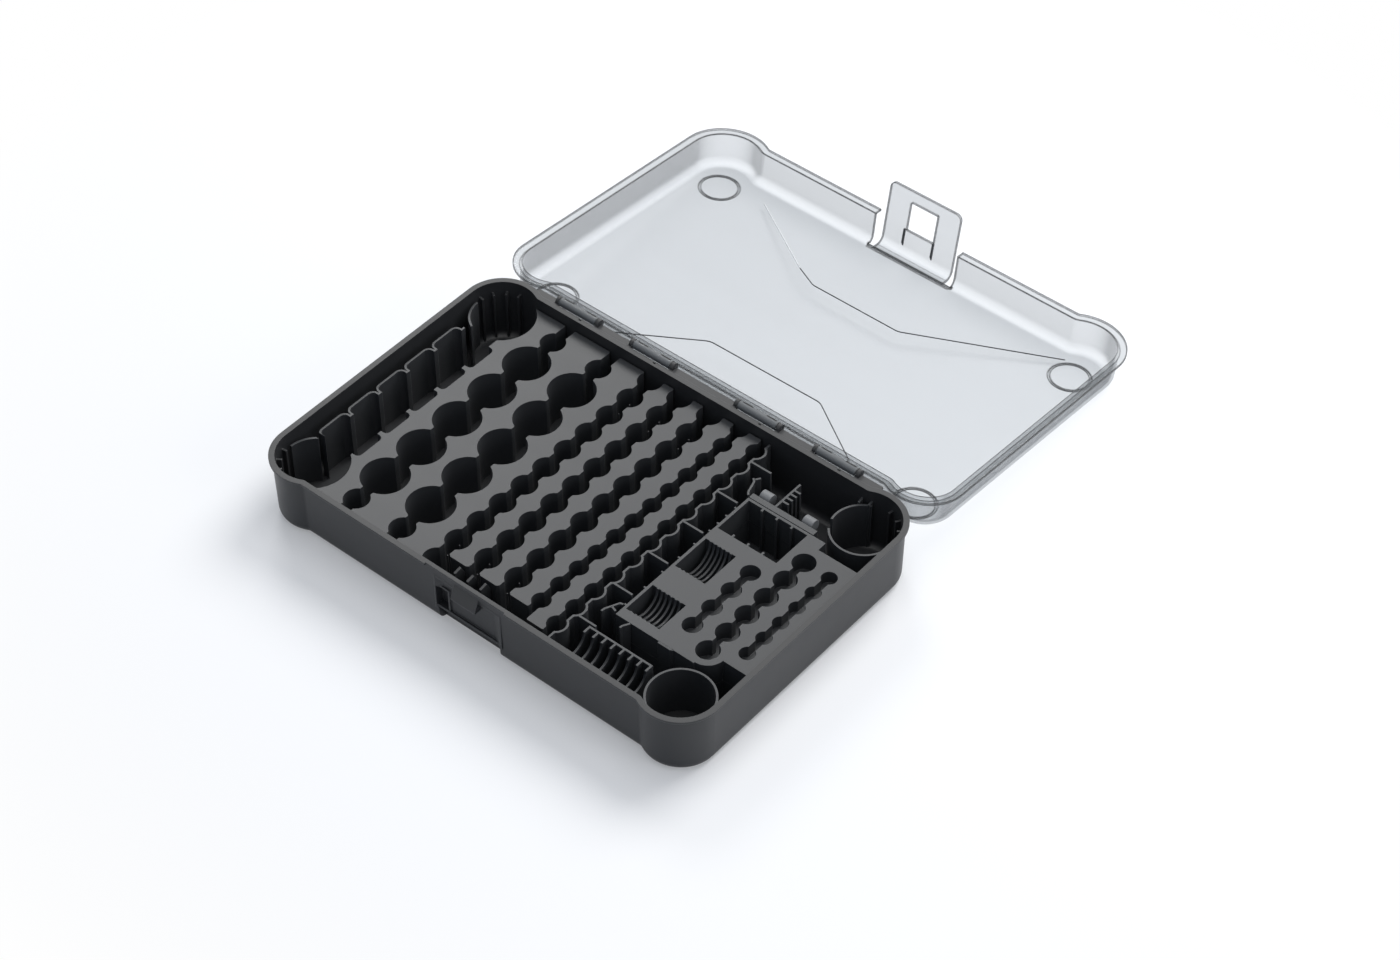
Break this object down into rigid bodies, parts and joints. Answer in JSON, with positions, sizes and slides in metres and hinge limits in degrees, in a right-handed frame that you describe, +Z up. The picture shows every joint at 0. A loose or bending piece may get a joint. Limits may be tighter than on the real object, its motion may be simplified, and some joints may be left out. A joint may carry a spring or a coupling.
{
  "type": "battery storage box",
  "caption": "Dark moulded battery box with scalloped rows of round pockets, square bays, corner pockets and a coin tray, and a clear lid on hinges laid open behind it.",
  "frame": {"origin": "centre of the base's underside, on the surface that it rests on", "axes": "+X along the long side, from the square pockets to the coin tray; +Y from the latch side to the hinges; +Z up"},
  "size_m": [0.312, 0.4005, 0.044],
  "materials": {
    "dark_shell": "fine satin moulded plastic",
    "dark_tray": "fine satin moulded plastic",
    "grey_clip": "satin moulded plastic",
    "pin_steel": "plain wire",
    "clear_lid": "clear smoke-tinted plastic",
    "clear_flap": "clear smoke-tinted plastic"
  },
  "bodies": {
    "base": {"base_shell": "dark_shell", "latch_wall_gussets": "dark_tray", "divider_square_to_c": "dark_tray", "divider_c_to_c": "dark_tray", "divider_c_to_aa": "dark_tray", "divider_aa_left": "dark_tray", "divider_aa_right": "dark_tray", "divider_aa_to_aaa": "dark_tray", "divider_aaa": "dark_tray", "wavy_side_wall": "dark_tray", "square_pocket_wall": "dark_tray", "front_corner_cup": "dark_tray", "back_corner_cup": "dark_tray", "coin_tray": "dark_tray", "coin_tray_skirt": "dark_tray", "coin_well_large": "dark_tray", "coin_well_small": "dark_tray", "cell_well_liner": "dark_tray", "tester_rail": "dark_tray", "tester_clip_left": "grey_clip", "tester_clip_right": "grey_clip", "tester_comb": "dark_tray", "coin_rack": "dark_tray", "hinge_pin_1": "pin_steel", "hinge_pin_2": "pin_steel", "hinge_pin_3": "pin_steel", "hinge_pin_4": "pin_steel"},
    "lid": {"lid_shell": "clear_lid"},
    "flap": {"latch_flap": "clear_flap"}
  },
  "joints": [
    {"name": "lid_hinge", "type": "hinge", "parent": "base", "child": "lid", "pos_m": [0, 0.0996, 0.04135], "axis": [1, 0, 0], "range_deg": [0, 185.64]},
    {"name": "flap_hinge", "type": "hinge", "parent": "lid", "child": "flap", "pos_m": [0.0003, 0.28566, 0.00127], "axis": [1, 0, 0], "range_deg": [-12, 4], "stiffness_Nm_per_rad": 0.05}
  ]
}
